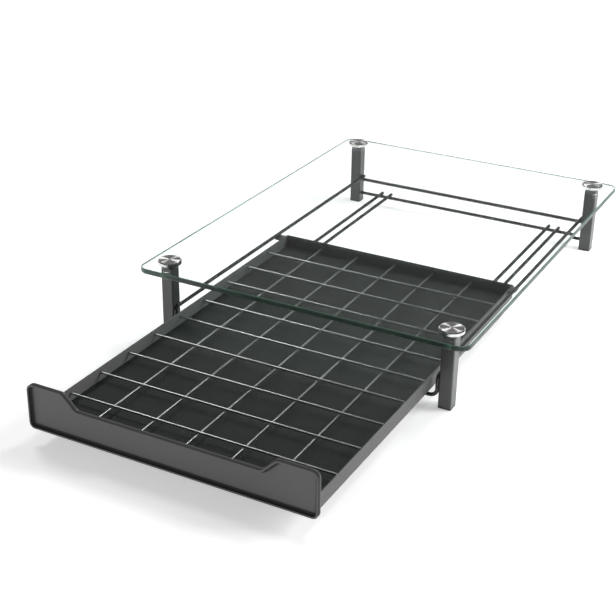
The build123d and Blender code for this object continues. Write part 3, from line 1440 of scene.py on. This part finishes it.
# ---------------------------------------------------------------- studio
@dataclass(frozen=True)
class Lamp:
    """A square soft light. One that is mirrored shows in glass and metal."""

    name: str
    place: tuple[float, float, float]
    side: float
    watts: float
    mirrored: bool


@dataclass
class Studio:
    """White floor, soft light and the photograph's camera.

    The two low lamps aren't mirrored, because they would hide what lies under the glass.
    """

    azimuth: float = 27.8967
    elevation: float = 25.9087
    roll: float = 0.8454
    focal_pixels: float = 1269.43
    photo_pixels: int = 616
    sensor: float = 36.0
    clip_start: float = 0.05
    eye: tuple[float, float, float] = (0.4670, -0.9702, 0.53975)
    aim: tuple[float, float, float] = (0.0, 0.0, 0.03)
    world_light: float = 0.9
    sky_low: float = 0.02
    sky_high: float = 0.30
    sky_dark: float = 0.10
    floor_side: float = 30.0
    floor_colour: Colour = (0.86, 0.86, 0.87)
    floor_cloud_shade: float = 0.99
    floor_clouds_per_metre: float = 1.5
    floor_roughness: float = 0.9
    floor_lift: float = 0.42
    floor_lift_through_glass: float = 0.30
    floor_fade: float = 1.2
    shadow_reach: float = 0.75
    lamps: tuple[Lamp, ...] = (
        Lamp("key", (2.1, 1.0, 1.1), 1.2, 66.0, mirrored=False),
        Lamp("back_right", (0.46, 1.21, 1.82), 0.55, 12.0, mirrored=True),
        Lamp("back_left", (-1.12, 0.37, 1.82), 0.55, 12.0, mirrored=True),
        Lamp("fill", (-1.5, -1.9, 0.7), 1.2, 22.0, mirrored=False),
    )

    def camera(self) -> None:
        """Place the camera as the photograph was taken."""
        azimuth, elevation, roll = map(math.radians, (self.azimuth, self.elevation, self.roll))
        level = math.cos(elevation)
        back = Vector((math.sin(azimuth) * level, -math.cos(azimuth) * level, math.sin(elevation)))
        right = Vector((math.cos(azimuth), math.sin(azimuth), 0))
        up = back.cross(right)
        axis_x = math.cos(roll) * right + math.sin(roll) * up
        axis_y = math.cos(roll) * up - math.sin(roll) * right
        lens = bpy.data.cameras.new("photo_camera")
        lens.sensor_width = self.sensor
        lens.lens = self.focal_pixels * self.sensor / self.photo_pixels
        lens.clip_start = self.clip_start
        camera = bpy.data.objects.new("photo_camera", lens)
        bpy.context.scene.collection.objects.link(camera)
        turn = Matrix((axis_x, axis_y, back)).transposed().to_4x4()
        camera.matrix_world = Matrix.Translation(self.eye) @ turn
        bpy.context.scene.camera = camera

    def light(self, lamp: Lamp) -> None:
        """Set up a lamp, aimed at the object.

        Args:
            lamp: The lamp.
        """
        data = bpy.data.lights.new(lamp.name, "AREA")
        data.energy = lamp.watts
        data.size = lamp.side
        light = bpy.data.objects.new(lamp.name, data)
        light.visible_glossy = light.visible_transmission = lamp.mirrored
        bpy.context.scene.collection.objects.link(light)
        light.location = lamp.place
        heading = Vector(self.aim) - Vector(lamp.place)
        light.rotation_euler = heading.to_track_quat("-Z", "Y").to_euler()

    def world(self) -> None:
        """White surroundings under a dark ceiling, a little softer as a light than to look at."""
        world = bpy.data.worlds.new("white_studio")
        bpy.context.scene.world = world
        world.use_nodes = True
        nodes = Nodes(world.node_tree)
        height = nodes.along("Z", nodes.node("TexCoord", "Generated", {}))
        levels = {"Value": height, "From Min": self.sky_low, "From Max": self.sky_high,
                  "To Min": 1.0, "To Max": self.sky_dark}
        sky = nodes.node("MapRange", "Result", levels, interpolation_type="SMOOTHSTEP")
        share = nodes.span(nodes.seen_directly(), self.world_light, 1.0)
        background = world.node_tree.nodes["Background"]
        nodes.fill(background.inputs["Color"], (1, 1, 1, 1))
        nodes.fill(background.inputs["Strength"], nodes.math("MULTIPLY", sky, share))

    def far_away(self, graph: Graph) -> Socket:
        """0 on the floor round the object, where its shadow falls, rising to 1 far from it."""
        beyond = graph.math("SUBTRACT", graph.length(graph.place), self.shadow_reach)
        return graph.clamped(graph.math("DIVIDE", beyond, self.floor_fade))

    def floor(self) -> None:
        """Plain white floor that keeps the object's shadow."""
        Bench.clear()
        bpy.ops.mesh.primitive_plane_add(size=self.floor_side, location=(0, 0, 0))
        floor = bpy.context.object
        floor.name = "studio_floor"
        graph = Graph("floor_white")
        clouds = graph.noise(self.floor_clouds_per_metre)
        lift = graph.span(self.far_away(graph), self.floor_lift, 1.0)
        glow = graph.math("MULTIPLY", graph.seen_directly(), lift)
        through = graph.math("MULTIPLY", graph.rays("Is Transmission Ray"), self.floor_lift_through_glass)
        graph.surface(
            Base_Color=graph.mix(clouds, shade(self.floor_colour, self.floor_cloud_shade), self.floor_colour),
            Roughness=self.floor_roughness, Specular_IOR_Level=0.0, Emission_Color=(1, 1, 1, 1),
            Emission_Strength=graph.math("ADD", glow, through))
        floor.data.materials.append(graph.material)

    def build(self) -> None:
        """Set up the whole studio."""
        self.camera()
        self.world()
        self.floor()
        for lamp in self.lamps:
            self.light(lamp)
        bpy.context.scene.view_settings.view_transform = "Standard"


# ---------------------------------------------------------------- all of it
def stand() -> tuple[GlassTop, Caps, Legs, WireFrame]:
    """Mix the stand's finishes.

    Returns:
        The stand's sub-assemblies, to be built.
    """
    glass_low, glass_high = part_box("glass_top")
    front, rear = middle_of("front_right_leg"), middle_of("rear_right_leg")
    chrome = TurnedChrome(
        "turned_chrome", middle_y=(front.y + rear.y) / 2, half_x=front.x, half_y=(rear.y - front.y) / 2,
        face_z=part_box("caps")[0].z + Caps.neck_height + Caps.disc_height).material()
    zinc = PlatedSteel("zinc_plate", (0.55, 0.56, 0.60), roughness=0.35).material()
    leg_coat = Coat("leg_coat", (0.034, 0.034, 0.035), roughness=0.36, specular=0.6, lacquer=0.45)
    glass = FloatGlass(
        "float_glass", middle_z=middle_of("glass_top").z, thickness=glass_high.z - glass_low.z,
        arris=GlassTop.arris)
    return (
        GlassTop(
            finish=glass.material(),
            washer_finish=Moulded(
                "clear_washer", (0.72, 0.74, 0.74), roughness=0.25, subsurface=0.3).material(),
            pad_finish=Moulded("black_rubber", (0.022, 0.022, 0.022), roughness=0.75).material()),
        Caps(finish=chrome, stud_finish=zinc, insert_finish=zinc),
        Legs(
            finish=leg_coat.material(),
            foot_finish=Moulded("black_plastic", (0.020, 0.020, 0.021)).material()),
        WireFrame(finish=Coat("wire_coat", (0.010, 0.010, 0.011), roughness=0.24, specular=0.6).material()),
    )


def drawer() -> tuple[FrontPanel, Tray, Grid]:
    """Mix the drawer's finishes.

    Returns:
        The drawer's sub-assemblies, to be built.
    """
    panel_low, panel_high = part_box("front_panel")
    # The panel's coat carries painted shade in the groove of the dish.
    panel_coat = PressedCoat(
        "panel_coat", (0.088, 0.088, 0.089), roughness=0.34, clouds=0.03, peel_depth=0.008 * MM,
        face_y=panel_high.y - FrontPanel.web, rim_y=panel_low.y)
    # Painted light and shade: the one mesh sheet gets a light colour on the side walls, where light falls,
    # and a near-black one on the floor, where shade falls; the end walls lie between.
    sheets = (
        MeshSheet("mesh_floor_painted_shade", (0.016, 0.020, 0.018), Lie.FLAT),
        MeshSheet("mesh_sides_painted_light", (0.150, 0.152, 0.152), Lie.ALONG_DRAWER),
        MeshSheet("mesh_ends", (0.040, 0.043, 0.042), Lie.ACROSS_DRAWER),
    )
    return (
        FrontPanel(finish=panel_coat.material()),
        Tray(
            sheet_finishes={sheet.lie: sheet.material() for sheet in sheets},
            tab_finish=Coat("tab_coat", (0.045, 0.046, 0.048)).material()),
        Grid(
            across_finish=PlatedSteel("plated_across", stretch=(0.02, 1.0, 1.0)).material(),
            along_finish=PlatedSteel("plated_along", stretch=(1.0, 0.02, 1.0)).material()),
    )


def main() -> None:
    """Build the studio, the stand and the drawer."""
    logging.basicConfig(level=logging.INFO, format="%(message)s")
    for assembly in (Studio(), *stand(), *drawer()):
        LOG.info("%s", type(assembly).__name__)
        assembly.build()


if __name__ == "__main__":
    main()
